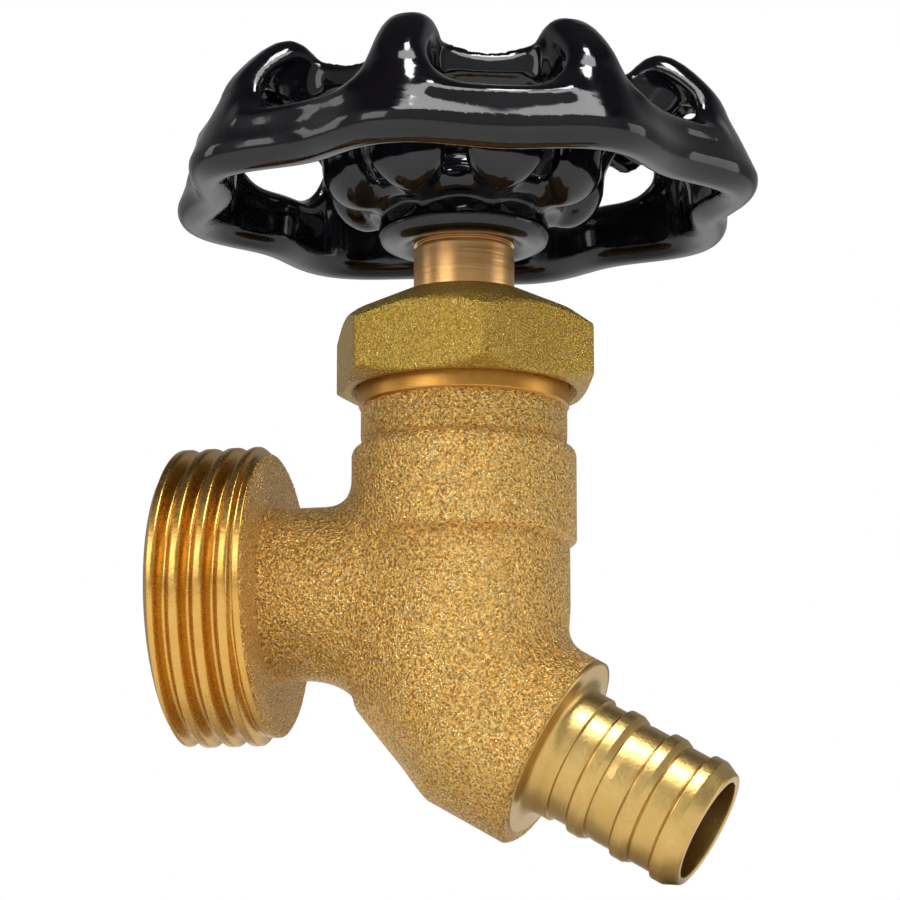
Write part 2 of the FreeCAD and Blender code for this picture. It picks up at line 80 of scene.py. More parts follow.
# %% Drawing frame
MM = 0.001
mounts = {mount["name"]: mount for mount in frame["record"]["mounts"]}
stem_low, stem_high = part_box("stem")
DRAWING_ORIGIN = np.array([
    (stem_low.x + stem_high.x) / 2,
    0.0,
    mounts["hose_outlet"]["pos_m"][2],
])
BARB_AXIS = Vector(mounts["barb_bore"]["axis"])
BARB_BORE_R = mounts["barb_bore"]["dims"]["r_mm"]
OUTLET_AXIS = Vector(mounts["hose_outlet"]["axis"])
OUTLET_BORE_R = 5.2
print("drawing origin in mm", (DRAWING_ORIGIN / MM).round(2))

# %% [markdown]
# ## From arrays of points to meshes
#
# A surface here is an array of points on a grid. Most pieces of a valve are turned on a lathe,
# so the helper that matters most carries an outline round an axis. Blender's Screw modifier
# does the same, but an array can still be changed by a formula afterwards, which is how nut,
# stem and hose thread get their flats and ridges. An outline is given by its corners, each
# with the radius of the edge that the tool or the polishing wheel left on it.

# %% From points to an object
UP = Vector((0, 0, 1))


def add_piece(name, points, faces):
    """Makes a smooth-shaded object from points in drawing millimetres and a face array."""
    mesh = bpy.data.meshes.new(name)
    mesh.from_pydata((points * MM + DRAWING_ORIGIN).tolist(), [], faces.tolist())
    mesh.update()
    mesh.shade_smooth()
    piece = bpy.data.objects.new(name, mesh)
    bpy.context.scene.collection.objects.link(piece)
    print(name, len(points), "points", len(faces), "faces")
    return piece


def wrapped_faces(rows, columns):
    """Quads of a grid that closes on itself both ways, like a ring of any section."""
    first = np.arange(rows)[:, None] * columns
    after = (np.arange(rows) + 1)[:, None] % rows * columns
    column = np.arange(columns)[None, :]
    turned = (np.arange(columns) + 1)[None, :] % columns
    corners = [first + column, first + turned, after + turned, after + column]
    return np.stack(corners, axis=-1).reshape(-1, 4)


def laid_along(points, centre, axis):
    """Turns points so that their Z axis lies along the axis given, and moves them to the centre."""
    turn = np.array(UP.rotation_difference(axis).to_matrix())
    return points @ turn.T + np.array(centre)


print("a ring of 3 by 4 points has", len(wrapped_faces(3, 4)), "faces")

# %% Outlines of turned pieces
ARC_POINTS = 7


def rounded_outline(corners, spacing=0.25):
    """Closed outline through (radius, height, edge radius) corners, with an arc at each edge.

    The arc starts and ends where a circle of the edge radius touches both straight runs, and
    it is drawn as the quadratic curve between these places with the corner as its handle.
    Points follow each other at about the spacing given.
    """
    sharp = np.array([corner[:2] for corner in corners], float)
    runs = []
    for index, (_, _, edge) in enumerate(corners):
        here = sharp[index]
        back = sharp[index - 1] - here
        ahead = sharp[(index + 1) % len(sharp)] - here
        back_length, ahead_length = np.linalg.norm(back), np.linalg.norm(ahead)
        cosine = np.clip(back @ ahead / back_length / ahead_length, -0.999, 0.999)
        reach = edge / math.tan(math.acos(cosine) / 2)
        reach = min(reach, 0.49 * back_length, 0.49 * ahead_length)
        start, end = here + back / back_length * reach, here + ahead / ahead_length * reach
        share = np.linspace(0, 1, ARC_POINTS if edge > 0 else 1)[:, None]
        runs.append((1 - share) ** 2 * start + 2 * share * (1 - share) * here + share ** 2 * end)
    loop = np.concatenate(runs)
    gaps = np.linalg.norm(np.roll(loop, -1, axis=0) - loop, axis=1)
    pieces = []
    for index, gap in enumerate(gaps):
        steps = max(int(gap / spacing), 1)
        share = np.arange(steps)[:, None] / steps
        pieces.append(loop[index] * (1 - share) + loop[(index + 1) % len(loop)] * share)
    return np.concatenate(pieces)


rod_outline = rounded_outline([(0, 0, 0), (5, 0, 1), (5, 20, 1), (0, 20, 0)])
print("a rod of 10 by 20 mm has an outline of", len(rod_outline), "points")

# %% Carried round an axis
def carried_round(outline, steps):
    """Grid of points: row i holds outline point i at every angle round the Z axis."""
    angle = np.arange(steps) * (2 * math.pi / steps)
    radius, height = outline[:, :1], outline[:, 1:]
    return np.stack([radius * np.cos(angle), radius * np.sin(angle), height + 0 * angle], axis=-1)


def soft_min(first, second, width):
    """Lower of two values, rounded where they differ by less than the width."""
    near = np.maximum(width - np.abs(first - second), 0) / width
    return np.minimum(first, second) - near * near * width / 4


def with_flats(grid, count, across, turn, edge):
    """Cuts flats round a turned grid: each radius becomes the soft lower of blank and flat."""
    radius = np.hypot(grid[..., 0], grid[..., 1])
    angle = np.arctan2(grid[..., 1], grid[..., 0])
    off_flat = (angle - turn) % (2 * math.pi / count) - math.pi / count
    share = soft_min(radius, across / 2 / np.cos(off_flat), edge) / radius
    return grid * np.stack([share, share, np.ones_like(share)], axis=-1)


def add_turned(name, corners, centre=(0, 0, 0), axis=UP, steps=256):
    """A piece turned on a lathe: its outline runs counter-clockwise in radius and height."""
    grid = carried_round(rounded_outline(corners), steps)
    points = laid_along(grid.reshape(-1, 3), centre, axis)
    return add_piece(name, points, wrapped_faces(*grid.shape[:2]))


# %% [markdown]
# ## Castings as a formula in space
#
# A casting has no outline to carry round one axis: branch, barrel and boss run into each other
# with the soft corners that the sand mould leaves, and the handwheel is a web full of holes.
# Booleans between meshes would leave sharp seams here. Such a form is easy as a formula that
# is negative inside the metal and zero on its skin. Two forms join softly where the lower of
# their two values is taken with a rounded step. The skin is then read off a grid of cubes, and
# every point is slid onto the exact zero.

# %% Distances
def soft_max(first, second, width):
    """Higher of two values, rounded where they differ by less than the width."""
    return -soft_min(-first, -second, width)


def around(points, centre, axis):
    """Distance from an axis, and height along it from the centre."""
    offset = points - np.array(centre, float)
    height = offset @ np.array(axis)
    return np.sqrt(np.maximum((offset * offset).sum(axis=-1) - height * height, 0)), height


def outline_distance(radius, height, corners):
    """Distance to a closed outline, negative inside: the least distance to any of its runs.

    A place is inside where a level line drawn outwards from it crosses the outline an odd
    number of times.
    """
    nearest = np.full(radius.shape, np.inf)
    inside = np.zeros(radius.shape, bool)
    for (r0, h0), (r1, h1) in zip(corners, corners[1:] + corners[:1]):
        run, rise = r1 - r0, h1 - h0
        share = ((radius - r0) * run + (height - h0) * rise) / (run * run + rise * rise)
        share = np.clip(share, 0, 1)
        off_run, off_rise = radius - r0 - share * run, height - h0 - share * rise
        nearest = np.minimum(nearest, off_run ** 2 + off_rise ** 2)
        if rise:
            crossed = (h0 > height) != (h1 > height)
            inside ^= crossed & (radius < r0 + (height - h0) / rise * run)
    return np.where(inside, -1, 1) * np.sqrt(nearest)


rod_corners = [(0, 0), (5, 0), (5, 20), (0, 20)]
inside_rod = outline_distance(np.array([4.0]), np.array([10.0]), rod_corners)[0]
print("1 mm inside the rod the distance is", inside_rod)

# %% From a formula to its skin
SLIDE_STEPS = 4
NUDGE_SHARE = 0.2
LEAST_SLOPE_SQUARED = 0.1
LONGEST_STEP_SHARE = 0.5


def crossed_edges(values, counts):
    """For every cube edge that the skin crosses: the four cubes round it and the crossing."""
    strides = np.array([counts[1] * counts[2], counts[2], 1])
    side = np.eye(3, dtype=int)
    cubes, crossings = [], []
    for axis in range(3):
        across = [(axis + 1) % 3, (axis + 2) % 3]
        first = np.moveaxis(np.moveaxis(values, axis, 0)[:-1], 0, axis)
        second = np.moveaxis(np.moveaxis(values, axis, 0)[1:], 0, axis)
        edge = np.argwhere((first < 0) != (second < 0))
        edge = edge[np.all(edge[:, across] > 0, axis=1)]
        start, end = first[tuple(edge.T)], second[tuple(edge.T)]
        one, other = side[across[0]], side[across[1]]
        ring = np.stack([0 * one, one, one + other, other])
        around_edge = (edge[:, None] - ring) @ strides
        around_edge[start >= 0] = around_edge[start >= 0][:, ::-1]
        cubes.append(around_edge)
        crossing = edge + side[axis] * (start / (start - end))[:, None]
        crossings.append(np.repeat(crossing, 4, axis=0))
    return np.concatenate(cubes), np.concatenate(crossings)


def skin_of(field, low, high, cell):
    """Points and quads of the surface where a field is zero, inside a box.

    The box is cut into cubes. A cube that the skin passes through holds one point, at the mean
    of the places where its edges are crossed. Each crossed edge gives one quad, through the
    four cubes around it, turned so that it faces out. A few steps along the slope of the field
    then slide every point onto the skin.
    """
    low = np.array(low, float)
    counts = np.ceil((np.array(high, float) - low) / cell).astype(int) + 1
    corner = np.stack(np.meshgrid(*[np.arange(count) for count in counts], indexing="ij"), axis=-1)
    cubes, crossings = crossed_edges(field(low + corner * cell), counts)
    owner = np.unique(cubes, return_inverse=True)[1].reshape(-1)
    share = np.bincount(owner)
    sums = [np.bincount(owner, crossings[:, axis]) / share for axis in range(3)]
    points = low + np.stack(sums, axis=-1) * cell
    nudge = NUDGE_SHARE * cell
    for _ in range(SLIDE_STEPS):
        slope = np.stack([
            field(points + nudge * side) - field(points - nudge * side) for side in np.eye(3)
        ], axis=-1) / (2 * nudge)
        steepness = np.maximum((slope * slope).sum(axis=-1), LEAST_SLOPE_SQUARED)
        step = (field(points) / steepness)[:, None] * slope
        length = np.linalg.norm(step, axis=1, keepdims=True)
        points = points - step * np.minimum(1, LONGEST_STEP_SHARE * cell / np.maximum(length, 1e-9))
    return points, owner.reshape(-1, 4)


def ball(points):
    """Distance to a ball of 5 mm radius, to try the helper on."""
    return np.linalg.norm(points, axis=-1) - 5.0


ball_points, ball_faces = skin_of(ball, (-6, -6, -6), (6, 6, 6), 1.0)
off_ball = np.abs(ball(ball_points)).max()
print("a ball has", len(ball_faces), "faces and is off by", off_ball.round(6), "mm at most")


# %% [markdown]
# ## Shader sums in plain Python
#
# Finishes are made of node trees. A small class wraps one socket and overloads the operators,
# so that a mask or a height is written as the sum that it is. Every other node comes from one
# method, which takes the node's type, its settings and what goes into its sockets.

# %% A socket that can be added and multiplied
class Value:
    """One output of a node. Where it is a number, Python sums on it add Math nodes."""

    def __init__(self, finish, socket):
        self.finish = finish
        self.socket = socket

    def sum(self, operation, first, second):
        """Adds the Math node that works out one operation on two numbers."""
        return self.finish.node("Math", {"operation": operation}, {0: first, 1: second})

    def __add__(self, other):
        return self.sum("ADD", self, other)

    def __radd__(self, other):
        return self.sum("ADD", other, self)

    def __sub__(self, other):
        return self.sum("SUBTRACT", self, other)

    def __rsub__(self, other):
        return self.sum("SUBTRACT", other, self)

    def __mul__(self, other):
        return self.sum("MULTIPLY", self, other)

    def __rmul__(self, other):
        return self.sum("MULTIPLY", other, self)

    def clamped(self, low, high):
        """Straight ramp: 0 where the value is low or less, 1 where it is high or more."""
        return self.finish.node("MapRange", {"clamp": True}, {0: self, 1: low, 2: high, 3: 0.0, 4: 1.0})


# %% A material and its nodes
class Finish:
    """A material with its Principled shader, and the nodes that feed it."""

    def __init__(self, name, **plain):
        self.material = bpy.data.materials.new(name)
        self.material.use_nodes = True
        self.tree = self.material.node_tree
        self.shader = self.tree.nodes["Principled BSDF"]
        self.place = self.node("TexCoord", output="Object")
        self.paint(**plain)

    def node(self, kind, settings=None, inputs=None, output=0):
        """Adds a node: settings first, then the value or link of each socket; returns one output."""
        made = self.tree.nodes.new("ShaderNode" + kind)
        for key, value in (settings or {}).items():
            setattr(made, key, value)
        for key, value in (inputs or {}).items():
            self.connect(made.inputs[key], value)
        return Value(self, made.outputs[output])

    def connect(self, socket, value):
        """Links a wrapped socket, or sets a plain value."""
        if isinstance(value, Value):
            self.tree.links.new(value.socket, socket)
        else:
            socket.default_value = value

    def paint(self, **sockets):
        """Feeds sockets of the shader, named in lower case with underscores."""
        for key, value in sockets.items():
            title = " ".join("IOR" if word == "ior" else word.capitalize() for word in key.split("_"))
            self.connect(self.shader.inputs[title], value)

    def noise(self, size_mm, detail=2.0, stretch=None):
        """Cloudy pattern, 0 to 1, whose spots are about the size given; stretch scales X, Y, Z."""
        place = self.place
        if stretch is not None:
            place = self.node("Mapping", inputs={0: place, "Scale": stretch})
        scale = 1 / (size_mm * MM)
        return self.node("TexNoise", inputs={"Vector": place, "Scale": scale, "Detail": detail})

    def mixed(self, share, first, second):
        """Colour between two colours."""
        return self.node("Mix", {"data_type": "RGBA"}, {0: share, 6: first, 7: second}, 2)

    def relief(self, height, depth_mm, strength=1.0):
        """Normal of a surface whose height varies by the depth given."""
        inputs = {"Height": height, "Distance": depth_mm * MM, "Strength": strength}
        return self.node("Bump", inputs=inputs)


def shade(code):
    """Linear colour of a six-digit screen code, by the sRGB curve."""
    parts = np.array([int(code[place:place + 2], 16) for place in (0, 2, 4)]) / 255
    linear = np.where(parts <= 0.04045, parts / 12.92, ((parts + 0.055) / 1.055) ** 2.4)
    return (*linear.tolist(), 1.0)


print("screen grey 808080 is", round(shade("808080")[0], 3), "in linear light")

# %% [markdown]
# ## Blasted castings
#
# The body was poured in sand and shot-blasted, so it is a dull gold with a fine grain. Its pits
# are darker, partly the brass's own colour and partly painted shade, and the grain's crests are
# painted near white, a painted glint. The nut is a greener alloy with a finer, shallower grain.
# A picture could show one such surface, but a noise that is read in the object's own
# millimetres has no seams and fits every shape.

# %% Cast brass
MOULD_CLOUD_MM = 3.2


def cast_finish(name, dark, middle, painted_glint_colour, grain_mm, depth_mm):
    """Blasted casting: pits of a darker colour, partly the brass's own and partly painted shade,
    a middle colour, and small grain crests painted near white as painted glints, all with relief.

    Height is the grain, plus its polished crests, plus a slow cloud for the uneven mould.
    """
    finish = Finish(name, metallic=1.0)
    cloud = finish.noise(MOULD_CLOUD_MM, 3.0)
    grain = finish.noise(grain_mm, 2.0)
    # Grain crests stand higher and are glossier, and their colour is painted near white: a painted
    # glint.
    tops_and_painted_glints = finish.noise(grain_mm * 0.7, 0.0).clamped(0.5, 0.72)
    # Pits run to the first colour: partly the brass's own colour, partly painted shade.
    grain_tone_and_pit_shade = finish.mixed(grain.clamped(0.36, 0.64), shade(dark), shade(middle))
    finish.paint(
        base_color=finish.mixed(tops_and_painted_glints * 0.5, grain_tone_and_pit_shade, shade(painted_glint_colour)),
        roughness=0.36 - 0.12 * tops_and_painted_glints + 0.06 * cloud,
        normal=finish.relief(grain + 0.9 * tops_and_painted_glints + 1.8 * cloud, depth_mm),
    )
    return finish.material


# Colours of each casting: the pits' colour with painted shade, the middle colour, and the painted glint
# on the crests.
cast_brass = cast_finish("cast_brass", "9c6b2a", "eebf68", "fff6bc", 0.25, 0.28)
nut_brass = cast_finish("nut_brass", "886826", "b89642", "dcc67a", 0.2, 0.1)
print("a casting's finish takes", len(cast_brass.node_tree.nodes), "nodes")

# %% [markdown]
# ## Machined metal
#
# Barb, thread, neck, stem and the small steel parts are cut with a tool, which leaves a smooth
# face with faint lines. Shallow noise gives that, and on the stem it is stretched across so
# that its lines run round. Anisotropy would need a direction on every face for the same look.

# %% Machined metal
PLAIN = (1.0, 1.0, 1.0)
LINES_ROUND_Z = (0.05, 0.05, 1.0)
LINE_DEPTH_MM = 0.02
HANDLING_CLOUD_MM = 2.5


def turned_finish(name, base, light, roughness, line_mm, stretch):
    """Smooth metal with the faint lines of a tool: two tones, and gloss that varies with them."""
    finish = Finish(name, metallic=1.0)
    lines = finish.noise(line_mm, 3.0, stretch)
    cloud = finish.noise(HANDLING_CLOUD_MM, 2.0)
    finish.paint(
        base_color=finish.mixed(cloud * 0.5 + lines * 0.4, shade(base), shade(light)),
        roughness=roughness + 0.16 * lines,
        normal=finish.relief(lines, LINE_DEPTH_MM),
    )
    return finish.material


turned_brass = turned_finish("turned_brass", "b08b45", "d3b87c", 0.24, 0.3, PLAIN)
thread_brass = turned_finish("thread_brass", "b98633", "dcb66c", 0.2, 0.4, PLAIN)
neck_brass = turned_finish("neck_brass", "a06c28", "cf9e54", 0.3, 0.3, PLAIN)
stem_bronze = turned_finish("stem_bronze", "cd9350", "ecc28a", 0.26, 0.35, LINES_ROUND_Z)
plated_steel = turned_finish("plated_steel", "a9a9a4", "d6d5cf", 0.25, 0.5, PLAIN)
print("a machined finish takes", len(turned_brass.node_tree.nodes), "nodes")

# %% [markdown]
# ## Enamel, packing and rubber
#
# The handwheel is dipped in black enamel: nearly black, very glossy, and a little wavy where
# it ran. Its look comes from what it mirrors, so its shader has a low roughness and a slow,
# shallow relief. A clear coat over a matt black would look much the same, but the enamel is
# one layer, so one layer draws it. Packing and seat washer are matt.

# %% Enamel, packing and rubber
enamel = Finish("black_enamel", roughness=0.1, specular_ior_level=0.4)
enamel.paint(
    base_color=enamel.mixed(enamel.noise(4.0).clamped(0.3, 0.7), shade("040306"), shade("0b090e")),
    normal=enamel.relief(enamel.noise(3.0, 1.0), 0.05, 0.6),
)
packing = Finish("packing", roughness=0.8)
packing.paint(
    base_color=packing.mixed(packing.noise(0.4), shade("2d2c2b"), shade("55524d")),
    normal=packing.relief(packing.noise(0.3), 0.05),
)
rubber = Finish("seat_rubber", roughness=0.65)
rubber.paint(
    base_color=rubber.mixed(rubber.noise(0.5), shade("131313"), shade("242322")),
    normal=rubber.relief(rubber.noise(0.2), 0.02),
)
print("the enamel takes", len(enamel.material.node_tree.nodes), "nodes")

# %% [markdown]
# ## Coats for the CAD nodes
#
# Washers, packing and screws are shown as the CAD model has them. Body, nut, stem and handwheel
# are replaced by finer pieces below. A material could be given in the cell of each piece, but
# one table shows which metal goes where, and it coats the replaced nodes as well.

# %% Coats for the CAD nodes
def coat(piece, material):
    """Gives a piece one material, as its only slot."""
    piece.data.materials.clear()
    piece.data.materials.append(material)


NODE_FINISHES = {
    "valve_body": cast_brass,
    "packing_nut": nut_brass,
    "gland_washer": turned_brass,
    "packing_ring": packing.material,
    "stem": stem_bronze,
    "seat_washer": rubber.material,
    "washer_screw": turned_brass,
    "handwheel": enamel.material,
    "handwheel_lock_washer": plated_steel,
    "handwheel_screw": plated_steel,
}
for node, material in NODE_FINISHES.items():
    coat(frame["nodes"][node], material)
print(len(NODE_FINISHES), "nodes coated")

# %% [markdown]
# ## The casting
#
# Barrel, belly, outlet branch and slanting boss are one sand casting. The barrel carries a
# raised band, and the branch ends in the flange behind the hose thread. The waterways are cut
# out of it afterwards, as they are on the real one. The four could be joined with Boolean
# modifiers and bevelled where they meet, but a bevel fails where such curves run together, so
# all are one formula. Each outline below is a list of corners, radius and height, and HEART is
# a place far enough behind the axis to count as solid.

# %% Outlines of the casting
HEART = -20.0
BARREL_R = 9.5
BELLY_Z = -7.0
BELLY_R = 9.1
BAND_R = 10.11
BAND_LOW_Z = 4.3
BAND_HIGH_Z = 12.0
NECK_R = 9.3
NECK_START_Z = 16.35
BRANCH_R = 7.8
FLANGE_R = 12.8
FLANGE_BACK = 17.2
BOSS_R = 9.1
BOSS_END = 9.9
BARB_START = np.array([0.0, 0.0, -9.67])
BOSS_SAG = 0.6
BOSS_CENTRE = BARB_START + BOSS_SAG * np.array([-0.5, 0.0, -0.866])

barrel_outline = [
    (HEART, BELLY_Z), (BELLY_R, BELLY_Z), (BARREL_R, -2.0), (BARREL_R, 3.4), (BARREL_R - 0.1, 3.7),
    (BAND_R, BAND_LOW_Z), (BAND_R, BAND_HIGH_Z), (BAND_R - 0.15, 12.4), (NECK_R, 12.9),
    (NECK_R - 0.1, 13.2), (NECK_R, 13.6), (NECK_R, NECK_START_Z), (HEART, NECK_START_Z),
]
branch_outline = [
    (HEART, 0), (BRANCH_R, 0), (BRANCH_R, FLANGE_BACK), (FLANGE_R - 0.25, FLANGE_BACK),
    (FLANGE_R - 0.05, FLANGE_BACK + 0.2), (FLANGE_R - 0.05, FLANGE_BACK + 0.6),
    (HEART, FLANGE_BACK + 0.6),
]
boss_outline = [
    (HEART, -7.5), (5.0, -7.5), (BOSS_R - 0.3, 0.9), (BOSS_R, 1.8), (BOSS_R, BOSS_END - 0.4),
    (BOSS_R - 0.4, BOSS_END), (HEART, BOSS_END),
]
print("band stands out by", round(BAND_R - BARREL_R, 2), "mm")

# %% Outlines of the waterway
CHAMBER_R = 7.4
CHAMBER_THROAT_R = 6.81
SEAT_BORE_R = 4.2
SEAT_R = 5.6
CHAMBER_FLOOR_Z = -5.5
SEAT_LOW_Z = -6.0
SEAT_TOP_Z = -4.0
OUTLET_START = 5.6

chamber_outline = [
    (HEART, CHAMBER_FLOOR_Z), (CHAMBER_R, CHAMBER_FLOOR_Z), (CHAMBER_R, 7.4),
    (CHAMBER_THROAT_R, 8.0), (CHAMBER_THROAT_R, 30.0), (HEART, 30.0),
]
seat_outline = [
    (SEAT_BORE_R, SEAT_LOW_Z), (SEAT_R, SEAT_LOW_Z), (SEAT_R, SEAT_TOP_Z), (SEAT_BORE_R, SEAT_TOP_Z),
]
print("seat stands", SEAT_TOP_Z - CHAMBER_FLOOR_Z, "mm above the chamber's floor")

# %% Casting
BRANCH_CORNER = 2.4
BRANCH_CORNER_GROWTH = 3.6
GROWTH_DEPTH = 8.0
BOSS_CORNER = 1.8
SEAT_BORE_TOP_Z = -3.0
BORE_EDGE = 0.3
CASTING_BOX = (-19, -14, -25), (15, 14, 18)
CASTING_CELL = 0.32


def casting_metal(points):
    """Soft union of barrel, belly, branch and boss; the hollow corner widens below the branch."""
    barrel = outline_distance(*around(points, (0, 0, 0), UP), barrel_outline)
    belly = np.linalg.norm(points - np.array([0, 0, BELLY_Z]), axis=-1) - BELLY_R
    branch = outline_distance(*around(points, (0, 0, 0), OUTLET_AXIS), branch_outline)
    boss = outline_distance(*around(points, BOSS_CENTRE, BARB_AXIS), boss_outline)
    below = np.clip(-points[..., 2] / GROWTH_DEPTH, 0, 1)
    corner = BRANCH_CORNER + BRANCH_CORNER_GROWTH * below
    body = soft_min(np.minimum(barrel, belly), branch, corner)
    return soft_min(body, boss, BOSS_CORNER)


def casting_hollow(points):
    """Union of the chamber round the seat, the outlet bore, the bent inlet and the seat bore."""
    radius, height = around(points, (0, 0, 0), UP)
    branch_radius, branch_height = around(points, (0, 0, 0), OUTLET_AXIS)
    barb_radius, barb_height = around(points, BARB_START, BARB_AXIS)
    elbow = np.linalg.norm(points - BARB_START, axis=-1)
    inlet = np.where(barb_height > 0, barb_radius, elbow) - BARB_BORE_R
    outlet = np.maximum(branch_radius - OUTLET_BORE_R, OUTLET_START - branch_height)
    chamber = np.minimum(outline_distance(radius, height, chamber_outline), outlet)
    chamber = np.maximum(chamber, -outline_distance(radius, height, seat_outline))
    seat_ends = np.maximum(BARB_START[2] - height, height - SEAT_BORE_TOP_Z)
    seat_bore = np.maximum(radius - SEAT_BORE_R, seat_ends)
    return np.minimum(np.minimum(chamber, inlet), seat_bore)


def casting(points):
    """Metal less hollow, with the bores' edges broken."""
    return soft_max(casting_metal(points), -casting_hollow(points), BORE_EDGE)


points, faces = skin_of(casting, *CASTING_BOX, CASTING_CELL)
body_casting = add_piece("body_casting", points, faces)
coat(body_casting, cast_brass)
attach(body_casting, "valve")
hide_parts("valve_body")

# %% [markdown]
# ## The hose thread
#
# A thread is a ridge that climbs as it goes round. It could be a profile swept along a helix,
# but such a sweep has to be joined to the shaft. Here the ridge's height above the root
# depends only on the pitches gone along the axis plus the share of a turn gone round it, so
# the whole thread is one grid of points. The ridge dies out at both ends of the cut.

# %% Hose thread
THREAD_R = mounts["hose_outlet"]["dims"]["r_mm"]
PITCH = 2.209
THREAD_DEPTH = 1.2
THREAD_TURN = 0.35
THREAD_STEPS = 300
FLANK_FOOT = 0.92
FLANK_RUN = 0.68
HEAD_LENGTH = 8.9
HOSE_END = -26.3
RUN_IN = 0.7
RUN_OUT = 0.5
RUN_OUT_GAP = 0.35
FLANGE_FOOT = 1.1
ROOT_R = THREAD_R - THREAD_DEPTH


def ridge(turns):
    """Height of the thread, 0 to 1, by its place within one pitch: flat crest, sloping flanks."""
    off_crest = np.abs(turns - np.floor(turns) - 0.5) * 2
    flank = np.clip((FLANK_FOOT - off_crest) / FLANK_RUN, 0, 1)
    return flank * flank * (3 - 2 * flank)


def thread_height(depth_in, turn_share):
    """Ridge that fades in and out at the ends, or the flange behind it where that is higher."""
    fade_in = np.clip(depth_in / RUN_IN, 0, 1)
    fade_out = np.clip((HEAD_LENGTH - RUN_OUT_GAP - depth_in) / RUN_OUT, 0, 1)
    flange = np.clip((depth_in - HEAD_LENGTH + FLANGE_FOOT) / RUN_OUT, 0, 1)
    flange = flange * (FLANGE_R - ROOT_R) / THREAD_DEPTH
    thread = fade_in * fade_out * ridge(depth_in / PITCH + turn_share + THREAD_TURN)
    return np.maximum(thread, flange)


head_outline = rounded_outline([
    (OUTLET_BORE_R, HEAD_LENGTH, 0), (OUTLET_BORE_R, 3.0, 0.3), (9.6, 0, 0.3), (ROOT_R - 0.2, 0, 0.3),
    (ROOT_R, 0.3, 0.2), (ROOT_R, HEAD_LENGTH, 0),
][::-1], 0.1)
grid = carried_round(head_outline, THREAD_STEPS)
on_shaft = (head_outline[:, 0] > ROOT_R - 0.15)[:, None]
height = thread_height(grid[..., 2], np.arange(THREAD_STEPS)[None, :] / THREAD_STEPS)
grid[..., :2] *= (1 + on_shaft * height * THREAD_DEPTH / ROOT_R)[..., None]
points = laid_along(grid.reshape(-1, 3), (HOSE_END, 0, 0), -OUTLET_AXIS)
hose_thread = add_piece("hose_thread", points, wrapped_faces(*grid.shape[:2]))
coat(hose_thread, thread_brass)
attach(hose_thread, "valve")
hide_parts("valve_body")

# %% [markdown]
# ## The barb
#
# The barb grips a plastic pipe that is crimped over it. It is cut on a lathe from the same
# casting: a tube with two flat ribs and an end collar. Each rib slopes towards the open end,
# so that the pipe slides on, and has a sharp step on its other side, which holds the pipe. A
# cylinder could be cut into loops and scaled row by row, but a list of radii and heights with
# small edge radii keeps the real sizes in sight. A disc closes the barb against the boss.

# %% Barb
TUBE_R = 5.66
RIB_R = mounts["barb"]["dims"]["r_mm"]
BARB_LENGTH = 25.17
BARB_FOOT = 9.0
RIB_STARTS = (14.1, 18.5)
FACE_PROUD = 0.03
BARB_FACE = BOSS_END + FACE_PROUD

barb_corners = [
    (BARB_BORE_R, BARB_FOOT, 0), (BOSS_R - 0.6, BARB_FOOT, 0), (BOSS_R - 0.6, BARB_FACE, 0),
    (6.0, BARB_FACE, 1.2), (RIB_R - 0.06, 12.2, 0.1),
]
for start in RIB_STARTS:
    barb_corners += [
        (TUBE_R, start - 1.8, 0.1), (TUBE_R, start - 0.1, 0.05), (TUBE_R - 0.1, start, 0.03),
        (RIB_R, start + 0.15, 0.15), (RIB_R, start + 1.2, 0.2),
        (TUBE_R + 0.15, start + 1.75, 0.05), (TUBE_R - 0.08, start + 1.85, 0.03),
    ]
barb_corners += [
    (TUBE_R, 20.5, 0.1), (TUBE_R, 22.4, 0.05), (TUBE_R - 0.1, 22.5, 0.03), (RIB_R, 22.7, 0.2),
    (RIB_R, 23.8, 0.4), (5.4, BARB_LENGTH, 0.25), (BARB_BORE_R, BARB_LENGTH, 0.15),
]
barb = add_turned("barb", barb_corners, BARB_START, BARB_AXIS)
coat(barb, turned_brass)
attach(barb, "valve")
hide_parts("valve_body")

# %% [markdown]
# ## The neck
#
# Only a narrow ring of the neck shows under the nut. It is turned smooth where the nut's
# thread runs out. Some faces of the casting could have a second material instead, but they are
# too coarse for a clean line between the two, so the neck is a piece of its own.

# %% Neck
NECK_THREAD_R = 9.48
NECK_FOOT_Z = 15.8
NECK_TOP_Z = 21.5
neck = add_turned("neck", [
    (CHAMBER_THROAT_R, NECK_FOOT_Z, 0), (NECK_R - 0.1, NECK_FOOT_Z, 0), (NECK_R - 0.1, 16.3, 0.1),
    (NECK_THREAD_R, 16.5, 0.15), (NECK_THREAD_R, 21.0, 0.2), (8.98, NECK_TOP_Z, 0.1),
    (CHAMBER_THROAT_R, NECK_TOP_Z, 0.1),
])
coat(neck, neck_brass)
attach(neck, "valve")
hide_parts("valve_body")

# %% [markdown]
# ## The packing nut
#
# A hexagon nut starts as a turned blank, and the six flats are cut into it. So its radius at
# any angle is the lower of the blank's radius and the distance to the flat, and a small soft
# step between the two gives the worn edges. That draws the curved lines between cone and flats
# by itself, which a bevelled hexagon wouldn't have.

